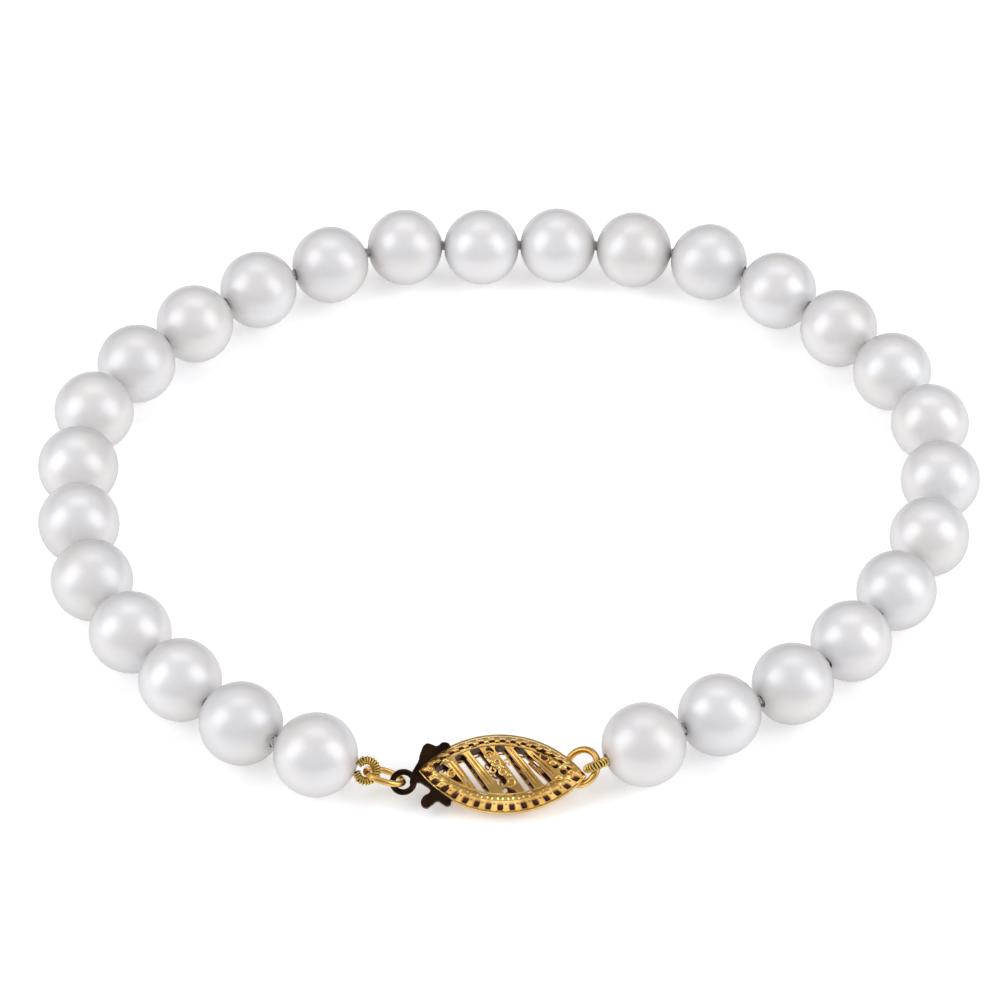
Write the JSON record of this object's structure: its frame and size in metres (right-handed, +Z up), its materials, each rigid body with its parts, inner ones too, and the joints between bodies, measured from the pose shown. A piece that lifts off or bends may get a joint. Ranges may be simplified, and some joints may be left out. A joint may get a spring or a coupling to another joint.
{
  "type": "pearl bracelet",
  "caption": "Single strand of knotted round white pearls on silk thread, closed by a marquise gold filigree fish-hook clasp, lying fastened in a loop",
  "frame": {"origin": "bottom centre of the bounding box, on the surface that the bracelet lies on", "axes": "+X along the loop's longest width, from the clasp's tongue side to its end ring side; +Y away from the clasp, across the loop; +Z up"},
  "size_m": [0.071, 0.0624, 0.0061],
  "materials": {
    "nacre": "satin pearl lustre, white with a faint pink and blue overtone",
    "silk": "twisted grey-mauve silk thread, knotted between the pearls",
    "gold": "polished yellow gold, purple-brown in the recesses",
    "dull_gold": "greenish dull gold coiled wire",
    "oxidised_brass": "near-black oxidised metal with warm brown edges"
  },
  "bodies": {
    "root": {"pearl_01": "nacre", "pearl_02": "nacre", "pearl_03": "nacre", "pearl_04": "nacre", "pearl_05": "nacre", "pearl_06": "nacre", "pearl_07": "nacre", "pearl_08": "nacre", "pearl_09": "nacre", "pearl_10": "nacre", "pearl_11": "nacre", "pearl_12": "nacre", "pearl_13": "nacre", "pearl_14": "nacre", "pearl_15": "nacre", "pearl_16": "nacre", "pearl_17": "nacre", "pearl_18": "nacre", "pearl_19": "nacre", "pearl_20": "nacre", "pearl_21": "nacre", "pearl_22": "nacre", "pearl_23": "nacre", "pearl_24": "nacre", "pearl_25": "nacre", "pearl_26": "nacre", "pearl_27": "nacre", "pearl_28": "nacre", "silk_thread": "silk", "gimp_left": "dull_gold", "gimp_right": "dull_gold", "jump_ring": "gold", "clasp_tongue": "oxidised_brass", "clasp_housing": "gold"}
  },
  "joints": []
}
